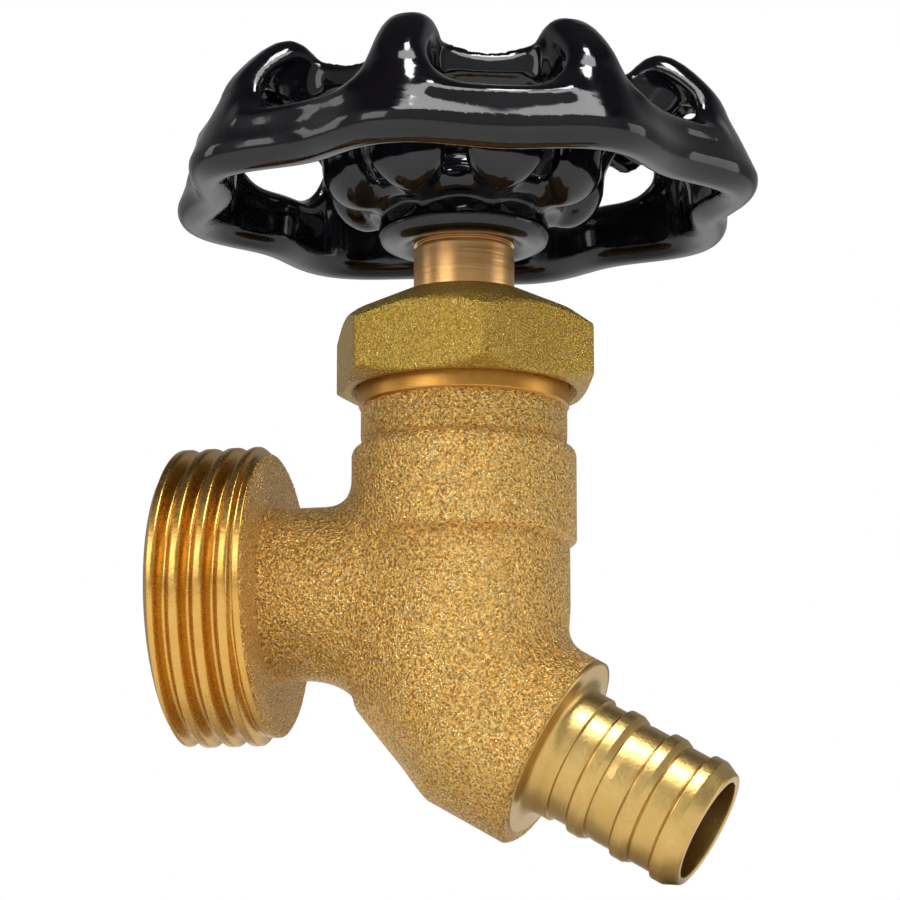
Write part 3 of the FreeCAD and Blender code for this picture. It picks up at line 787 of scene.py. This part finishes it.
# %% Packing nut
NUT_FLATS = 21.8
NUT_CORNER_R = 12.45
NUT_BORE_R = 4.65
NUT_THREAD_R = 9.56
NUT_TURN = math.radians(-69.0)
NUT_STEPS = 480
NUT_EDGE = 0.35
nut_outline = rounded_outline([
    (NUT_BORE_R, 26.9, 0.2), (NUT_BORE_R, 25.3, 0), (7.0, 23.9, 0), (7.0, 22.75, 0),
    (NUT_THREAD_R, 22.75, 0), (NUT_THREAD_R, 18.5, 0.1), (10.19, 17.84, 0.15),
    (NUT_FLATS / 2, 17.84, 0.1), (NUT_CORNER_R, 18.74, 0.3), (NUT_CORNER_R, 23.2, 0.4),
    (10.4, 24.7, 0.5), (5.7, 26.9, 0.5),
], 0.2)
grid = with_flats(carried_round(nut_outline, NUT_STEPS), 6, NUT_FLATS, NUT_TURN, NUT_EDGE)
nut = add_piece("nut", grid.reshape(-1, 3), wrapped_faces(*grid.shape[:2]))
coat(nut, nut_brass)
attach(nut, "valve")
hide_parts("packing_nut")

# %% [markdown]
# ## The stem
#
# Between nut and handwheel the stem is plain turned bronze with a thin groove close under the
# hub, where the tool ran out. Below, inside the neck, it has its operating thread, drawn plain
# because the nut hides it, and the cup that holds the seat washer. Above, inside the hub, it
# has a square. A box could be joined on for that, but flats cut into the turned grid, as on
# the nut, keep the stem one closed surface.

# %% Stem
STEM_R = 4.56
STEM_THREAD_R = 6.75
CUP_R = 6.3
CUP_HOLLOW_R = 5.9
CUP_LOW_Z = -2.1
CUP_FLOOR_Z = -0.7
SQUARE_SIDE = 6.0
SQUARE_CORNER_R = 3.85
SQUARE_TOP_Z = 38.3
SHOULDER_Z = 31.9
SCREW_HOLE_R = 2.1
SMALL_HOLE_R = 1.5
GROOVE_R = STEM_R - 0.3
STEM_STEPS = 192
SQUARE_EDGE = 0.1
stem_outline = rounded_outline([
    (SMALL_HOLE_R, CUP_FLOOR_Z, 0), (CUP_HOLLOW_R, CUP_FLOOR_Z, 0), (CUP_HOLLOW_R, CUP_LOW_Z, 0.05),
    (CUP_R, CUP_LOW_Z, 0.1), (CUP_R, 0.9, 0.3), (4.4, 1.6, 0.4), (4.4, 4.6, 0.3),
    (STEM_THREAD_R, 6.4, 0.2), (STEM_THREAD_R, 12.8, 0.2), (STEM_R, 13.6, 0.2),
    (STEM_R, 31.05, 0.04), (GROOVE_R, 31.15, 0.05), (GROOVE_R, 31.4, 0.05),
    (STEM_R, 31.5, 0.04), (STEM_R, SHOULDER_Z, 0.05), (SQUARE_CORNER_R, SHOULDER_Z, 0),
    (SQUARE_CORNER_R, SQUARE_TOP_Z, 0.2), (SCREW_HOLE_R, SQUARE_TOP_Z, 0),
    (SCREW_HOLE_R, 31.3, 0), (SMALL_HOLE_R, 31.3, 0),
])
grid = carried_round(stem_outline, STEM_STEPS)
outline_r, outline_z = stem_outline[:, 0, None, None], stem_outline[:, 1, None, None]
in_square = (outline_z >= SHOULDER_Z) & (outline_r <= SQUARE_CORNER_R)
squared = with_flats(grid, 4, SQUARE_SIDE, math.radians(45.0), SQUARE_EDGE)
grid = np.where(in_square, squared, grid)
turned_stem = add_piece("turned_stem", grid.reshape(-1, 3), wrapped_faces(*grid.shape[:2]))
coat(turned_stem, stem_bronze)
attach(turned_stem, "spindle")
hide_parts("stem")

# %% [markdown]
# ## The handwheel
#
# The handwheel is a thin web, dipped in enamel. Cut along a radius it is a lying S: out of the
# hub, up a cup wall, over a crest and down a skirt to a round rim. Between two fingers the
# crest is cut away, and in line with the knuckles a slit parts the cup. A modelled cage with
# Subdivision Surface could look like it, but every hole would have to be drawn eight times.
# Here its formula is the distance to that S less half the wall, and every cut is rounded as
# enamel rounds it.

# %% The web of the handwheel
LOBES = 8
FIRST_LOBE = math.radians(-92.7)
KNUCKLE_TURN = math.radians(11.0)
WALL = 2.3
RIM_BEAD_R = 1.9
RIM_LOW_Z = 34.3
RIM_WAIST_R = 24.6
FINGER_REACH = 2.5
CREST_R = 18.4
CREST_Z = 48.0
CREST_DROP = 2.6
SKIRT_WAVE = 1.85
OPENING_FLOOR_Z = 45.2
PATH_STEPS = 5
CUP_ROWS = 18
BEAD_START_ROW = 33


def web_path(lobe_share):
    """Middle line of the web in radius and height, from the hub (first row) to the rim (last).

    lobe_share is 1 on a finger's middle and 0 in the waist between two. The line runs smoothly
    through its nine places: each stretch is the cubic that leaves and meets its ends in the
    direction of their neighbours.
    """
    rim = RIM_WAIST_R + FINGER_REACH * lobe_share - RIM_BEAD_R
    through = np.array([
        (5.6, 36.2),  # inside the hub
        (9.4, 35.2 + 0.6 * lobe_share),  # floor of the cup
        (11.8 - 0.6 * lobe_share, 36.6 + 0.6 * lobe_share),  # knuckle
        (12.5 - 0.7 * lobe_share, 40.0),  # wall of the cup
        (15.3, OPENING_FLOOR_Z - WALL / 2),  # lip of the cup
        (CREST_R, CREST_Z - WALL / 2 - CREST_DROP * (1 - lobe_share)),
        (21.4 + lobe_share, 43.2 + 0.4 * lobe_share),  # shoulder
        (22.95 + SKIRT_WAVE * (lobe_share - 0.5), 40.2),  # skirt
        (rim, RIM_LOW_Z + RIM_BEAD_R),
    ])
    first, last = 2 * through[:1] - through[1:2], 2 * through[-1:] - through[-2:-1]
    through = np.concatenate([first, through, last])
    share = (np.arange(PATH_STEPS) / PATH_STEPS)[:, None]
    before, start, end, after = (through[place:place + 8, None] for place in range(4))
    line = (
        start + 0.5 * share * (end - before)
        + share ** 2 * (before - 2.5 * start + 2 * end - 0.5 * after)
        + share ** 3 * 0.5 * (after - before + 3 * (start - end))
    )
    return np.concatenate([line.reshape(-1, 2), through[-2:-1]])


waist_path, lobe_path = web_path(0.0), web_path(1.0)
path_rows = np.arange(len(waist_path))
half_walls = np.interp(path_rows, [0, BEAD_START_ROW, path_rows[-1]], [WALL / 2, WALL / 2, RIM_BEAD_R])
print("web path of", len(waist_path), "places, crest", lobe_path[:, 1].max().round(2), "mm high")

# %% Distance to the web
def web_distance(radius, height, lobe, knuckle_lobe):
    """Least distance to any stretch of the S at this angle, less half the wall there.

    The S lies between its waist line and its finger line by the lobe share; the rows of the
    cup follow the knuckles, and all further rows the fingers.
    """
    flat_r, flat_h = radius.reshape(-1), height.reshape(-1)
    lobe_of_row = np.where(path_rows[:, None] < CUP_ROWS, knuckle_lobe.reshape(-1), lobe.reshape(-1))
    path_r, path_h = (
        waist_path[:, side, None] + (lobe_path - waist_path)[:, side, None] * lobe_of_row
        for side in range(2)
    )
    nearest = np.full(flat_r.shape, np.inf)
    for step in path_rows[:-1]:
        r0, h0, r1, h1 = path_r[step], path_h[step], path_r[step + 1], path_h[step + 1]
        run, rise = r1 - r0, h1 - h0
        share = ((flat_r - r0) * run + (flat_h - h0) * rise) / (run * run + rise * rise)
        share = np.clip(share, 0, 1)
        wall = half_walls[step] + share * (half_walls[step + 1] - half_walls[step])
        off = np.hypot(flat_r - r0 - share * run, flat_h - h0 - share * rise) - wall
        nearest = np.minimum(nearest, off)
    return nearest.reshape(radius.shape)


over_crest = web_distance(np.array([CREST_R]), np.array([CREST_Z + 2]), np.ones(1), np.ones(1))[0]
print("2 mm over a finger's crest the web is", over_crest.round(2), "mm away")

# %% Openings, flanks and slits
FINGER_HALF = 2.6
OPENING_DROP = 5.0
OPENING_DROP_R = 15.8
OPENING_DROP_RUN = 1.8
OPENING_CORNER = 4.5
FLANK_R = 18.2
FLANK_HALF_LENGTH = 2.8
FLANK_LOW_Z = 41.2
FLANK_SIDE = 1.7
FLANK_HALF_WALL = 0.9
FLANK_END_CORNER = 3.5
FLANK_SIDE_CORNER = 1.2
SLIT_HALF = 0.8
SLIT_FLARE = 0.16
SLIT_FLARE_Z = 37.6
SLIT_TOP_Z = 41.6
SLIT_R = 13.2
SLIT_HALF_LENGTH = 4.0
SLIT_CORNER = 1.0


def sideways(radius, angle):
    """Distance sideways from the nearest of the eight lines at whole lobes of the angle."""
    off_line = (angle * LOBES / (2 * math.pi) + 0.5) % 1.0 - 0.5
    return radius * np.abs(np.sin(off_line * 2 * math.pi / LOBES))


def opening(radius, height, beside_finger):
    """Beyond a finger's side and above a floor that drops outwards, with a round corner."""
    dropped = np.clip((radius - OPENING_DROP_R) / OPENING_DROP_RUN, 0, 1)
    floor_line = OPENING_FLOOR_Z - OPENING_DROP * dropped
    return soft_max(FINGER_HALF - beside_finger, floor_line - height, OPENING_CORNER)


def flank(radius, height, beside_finger):
    """Side wall of a finger: a slab beside its middle, from its low edge up to the crest."""
    crest = np.interp(radius, lobe_path[CUP_ROWS:, 0], lobe_path[CUP_ROWS:, 1])
    tall = np.maximum(height - crest, FLANK_LOW_Z - height)
    slab = soft_max(tall, np.abs(radius - FLANK_R) - FLANK_HALF_LENGTH, FLANK_END_CORNER)
    off_side = np.abs(beside_finger - FLANK_SIDE) - FLANK_HALF_WALL
    return soft_max(slab, off_side, FLANK_SIDE_CORNER)


def slit(radius, height, beside_slit):
    """Slot in the cup that widens downwards with the square of the depth below its flare."""
    half = SLIT_HALF + SLIT_FLARE * np.maximum(SLIT_FLARE_Z - height, 0) ** 2
    ends = np.maximum(height - SLIT_TOP_Z, np.abs(radius - SLIT_R) - SLIT_HALF_LENGTH)
    return soft_max(beside_slit - half, ends, SLIT_CORNER)


print("finger is", 2 * FINGER_HALF, "mm wide, slit", 2 * SLIT_HALF, "mm")

# %% Handwheel
HUB_BOTTOM_Z = 31.3
HUB_TOP_Z = 39.6
HUB_R = 7.85
HUB_NECK_R = 6.6
HUB_CORNER = 1.6
SQUARE_HOLE_HALF = 3.05
SOCKET_R = 4.61
SOCKET_DEPTH = 1.0
SOCKET_CHAMFER = 0.9
ROLLED_EDGE = 0.4
ROLL_WIDTH = 0.9
ROLL_START = 2.2
ROLL_RUN = 1.5
FLANK_JOIN = 1.5
OPENING_EDGE = 2.0
SLIT_EDGE = 1.4
WHEEL_BOX = (-28.5, -28.5, 30), (28.5, 28.5, 49.5)
WHEEL_CELL = 0.4
hub_outline = [
    (HEART, HUB_BOTTOM_Z), (HUB_R - 1.3, HUB_BOTTOM_Z), (HUB_R - 0.4, HUB_BOTTOM_Z + 0.4),
    (HUB_R, HUB_BOTTOM_Z + 1.3), (HUB_R - 0.2, HUB_BOTTOM_Z + 2.2), (HUB_R - 1.1, HUB_BOTTOM_Z + 3.0),
    (HUB_NECK_R, HUB_BOTTOM_Z + 3.6), (HUB_NECK_R, HUB_TOP_Z), (HEART, HUB_TOP_Z),
]


def handwheel_field(points):
    """Web with rolled edges and flanks, less openings and slits, joined to the bored hub."""
    radius, height = around(points, (0, 0, 0), UP)
    angle = np.arctan2(points[..., 1], points[..., 0]) - FIRST_LOBE
    lobe = 0.5 + 0.5 * np.cos(LOBES * angle)
    knuckle_lobe = 0.5 + 0.5 * np.cos(LOBES * (angle - KNUCKLE_TURN))
    beside_finger = sideways(radius, angle)
    gap = opening(radius, height, beside_finger)
    away_from_finger = np.clip((beside_finger - ROLL_START) / ROLL_RUN, 0, 1)
    rolled_edge = ROLLED_EDGE * np.exp(-((gap - ROLL_WIDTH) / ROLL_WIDTH) ** 2) * away_from_finger
    web = web_distance(radius, height, lobe, knuckle_lobe) - rolled_edge
    web = soft_min(web, flank(radius, height, beside_finger), FLANK_JOIN)
    web = soft_max(web, -gap, OPENING_EDGE)
    beside_slit = sideways(radius, angle - KNUCKLE_TURN)
    web = soft_max(web, -slit(radius, height, beside_slit), SLIT_EDGE)
    wheel = soft_min(web, outline_distance(radius, height, hub_outline), HUB_CORNER)
    square = np.maximum(np.abs(points[..., 0]), np.abs(points[..., 1])) - SQUARE_HOLE_HALF
    above_foot = height - HUB_BOTTOM_Z
    chamfer = SOCKET_CHAMFER * np.clip(SOCKET_CHAMFER - above_foot, 0, 2)
    socket = np.maximum(radius - SOCKET_R - chamfer, above_foot - SOCKET_DEPTH)
    return soft_max(wheel, -np.minimum(square, socket), BORE_EDGE)


points, faces = skin_of(handwheel_field, *WHEEL_BOX, WHEEL_CELL)
handwheel = add_piece("enamelled_handwheel", points, faces)
coat(handwheel, enamel.material)
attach(handwheel, "spindle")
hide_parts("handwheel")

# %% [markdown]
# ## The floor
#
# The valve hangs just clear of a pale floor. The camera looks up at the valve from below that
# floor, so the floor's back lets the view through, and only eyes above it see the paper. A
# shadow catcher would need a transparent film for that. Here the paper's own material decides,
# by the side of the floor that is seen.

# %% Floor
FLOOR_GAP = 0.2 * MM
FLOOR_REACH = 3.0
floor_height = cad_low.z - FLOOR_GAP
floor_corners = [(-1, -1), (1, -1), (1, 1), (-1, 1)]
floor_mesh = bpy.data.meshes.new("floor")
floor_mesh.from_pydata(
    [(FLOOR_REACH * x, FLOOR_REACH * y, floor_height) for x, y in floor_corners],
    [], [(0, 1, 2, 3)],
)
floor = bpy.data.objects.new("floor", floor_mesh)
bpy.context.scene.collection.objects.link(floor)
paper = Finish("floor_paper", base_color=shade("f2f2f2"), roughness=0.9)
through = paper.node("BsdfTransparent")
seen_from_below = paper.node("NewGeometry", output="Backfacing")
paper_sheet = Value(paper, paper.shader.outputs[0])
sheet = paper.node("MixShader", inputs={0: seen_from_below, 1: paper_sheet, 2: through})
paper.connect(paper.tree.nodes["Material Output"].inputs["Surface"], sheet)
coat(floor, paper.material)
print("floor at", round(floor_height / MM, 2), "mm")

# %% [markdown]
# ## The studio
#
# The background is white to the camera. A shiny piece needs more than white around it, or it
# mirrors nothing but white. So metal and enamel see a room: a pale wall behind the camera,
# dimmer walls elsewhere, a light table below and a dark ceiling. A picture of a real studio
# could be wrapped round the scene, but two dot products with a ray's direction are enough. The
# pairs given to clamped below are such products, between which one side of the room fades into
# the next.

# %% World
STUDIO_LEVEL = 0.45
FRONT_LEVEL = 0.58
BACK_LEVEL = 0.34
CEILING_SHARE = 0.15
TABLE_LEVEL = 0.3
ROOM_FRONT = (0.05, -0.99, 0.1)
ROOM_TOP = (0.0, 0.0, 1.0)
world = bpy.data.worlds.new("studio")
bpy.context.scene.world = world
world.use_nodes = True


class Studio(Finish):
    """The world's node tree, with the same sums as a finish."""

    def __init__(self, tree):
        self.tree = tree


studio = Studio(world.node_tree)
outlook = studio.node("TexCoord", output="Generated")
towards_front, upwards = [
    studio.node("VectorMath", {"operation": "DOT_PRODUCT"}, {0: outlook, 1: side}, "Value")
    for side in (ROOM_FRONT, ROOM_TOP)
]
walls = BACK_LEVEL + towards_front.clamped(0.3, 0.75) * (FRONT_LEVEL - BACK_LEVEL)
ceiling = 1.0 - upwards.clamped(0.6, 0.8) * (1.0 - CEILING_SHARE)
table = (0.0 - upwards).clamped(0.1, 0.5) * TABLE_LEVEL
mirrored = walls * ceiling + table
direct, glossy, transmitted = [
    studio.node("LightPath", output=f"Is {kind} Ray") for kind in ("Camera", "Glossy", "Transmission")
]
seen_in_metal = glossy + transmitted
elsewhere = 1.0 - direct - seen_in_metal
background = world.node_tree.nodes["Background"]
background.inputs["Color"].default_value = (1.0, 1.0, 1.0, 1.0)
strength = direct + seen_in_metal * mirrored + elsewhere * STUDIO_LEVEL
studio.connect(background.inputs["Strength"], strength)
print("world of", len(world.node_tree.nodes), "nodes")

# %% [markdown]
# ## Lamps
#
# Five soft boxes stand round the valve. The large one in front shapes the casting. The glow
# and the ceiling lamp, high up, draw the highlights on the enamel and along the barb. The two
# at the sides edge the barrel and the stem. Soft boxes are area lamps, because a point lamp
# would leave hard spots on enamel.

# %% Lamps
MIDDLE_OF_VALVE = (cad_low + cad_high) / 2


def add_lamp(name, azimuth, elevation, distance, width, depth, power):
    """Soft box that faces the valve; azimuth 0 is in front, 90 to the right."""
    lamp_data = bpy.data.lights.new(name, "AREA")
    lamp_data.shape = "RECTANGLE"
    lamp_data.size = width
    lamp_data.size_y = depth
    lamp_data.energy = power
    lamp = bpy.data.objects.new(name, lamp_data)
    turn, rise = math.radians(azimuth), math.radians(elevation)
    away = Vector((math.sin(turn) * math.cos(rise), -math.cos(turn) * math.cos(rise), math.sin(rise)))
    lamp.location = MIDDLE_OF_VALVE + away * distance
    lamp.rotation_mode = "QUATERNION"
    lamp.rotation_quaternion = (-away).to_track_quat("-Z", "Y")
    lamp.visible_camera = False
    bpy.context.scene.collection.objects.link(lamp)
    print("lamp", name, power, "W")


add_lamp("front", -30, 22, 0.50, 0.28, 0.24, 0.7)
add_lamp("glow", 28, 56, 0.50, 0.36, 0.15, 1.4)
add_lamp("ceiling", 34, 70, 0.50, 0.12, 0.11, 1.2)
add_lamp("left", -80, 20, 0.60, 0.12, 0.35, 0.3)
add_lamp("right", 98, 10, 0.60, 0.28, 0.35, 0.6)

# %% [markdown]
# ## The camera
#
# Its place, turn and lens were fitted to the photograph with the hose thread as the ruler:
# a long lens, a little to the right and below, looking up at the handwheel. A Track To
# constraint could aim it, but the fit gives place and turn together, so they are one matrix.

# %% Camera
camera_data = bpy.data.cameras.new("camera")
camera_data.sensor_width = 36.0
camera_data.lens = 171.09
camera_data.clip_start = 0.01
camera = bpy.data.objects.new("camera", camera_data)
camera.matrix_world = Matrix((
    (0.97634016, 0.04477438, 0.2115541, 0.058323),
    (0.21623955, -0.20480418, -0.95461809, -0.367377),
    (0.00058473, 0.97777835, -0.20964054, -0.045718),
    (0, 0, 0, 1),
))
bpy.context.scene.collection.objects.link(camera)
bpy.context.scene.camera = camera
bpy.context.scene.view_settings.view_transform = "Standard"
print("camera", round((camera.matrix_world.translation - MIDDLE_OF_VALVE).length, 3), "m away")
